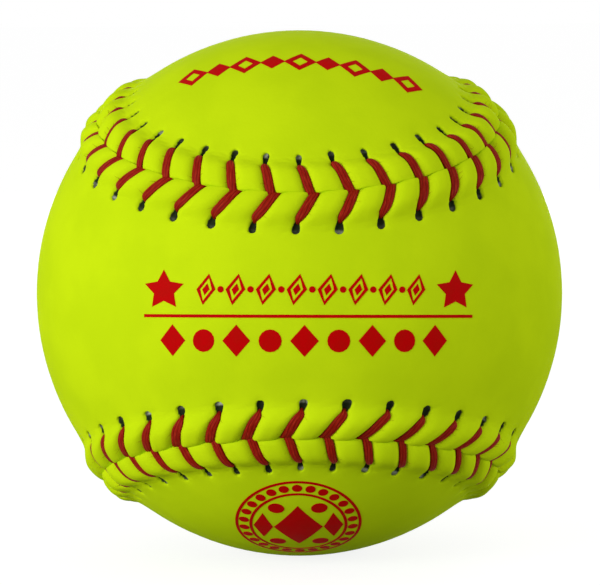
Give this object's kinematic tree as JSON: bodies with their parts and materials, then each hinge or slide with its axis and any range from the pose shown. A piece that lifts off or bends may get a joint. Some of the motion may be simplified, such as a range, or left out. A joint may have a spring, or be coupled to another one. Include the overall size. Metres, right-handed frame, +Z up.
{
  "type": "softball",
  "caption": "Yellow leather-covered softball with raised seams and red V-shaped lacing over a moulded core.",
  "frame": {"origin": "centre of the ball", "axes": "+Z up; -Y towards the waist of the front cover panel, whose long axis lies along X; +Y towards the waist of the back cover panel, whose long axis lies along Z"},
  "size_m": [0.089, 0.089, 0.089],
  "materials": {
    "core_foam": "moulded polyurethane foam",
    "latex_cement": "dried latex cement",
    "cover_leather": "smooth, lightly pebbled synthetic leather in optic yellow",
    "lacing_thread": "waxed red cotton thread"
  },
  "bodies": {
    "root": {"core": "core_foam", "cement_coat": "latex_cement", "cover_panel_front": "cover_leather", "cover_panel_back": "cover_leather", "first_needle_thread": "lacing_thread", "second_needle_thread": "lacing_thread"}
  },
  "joints": []
}
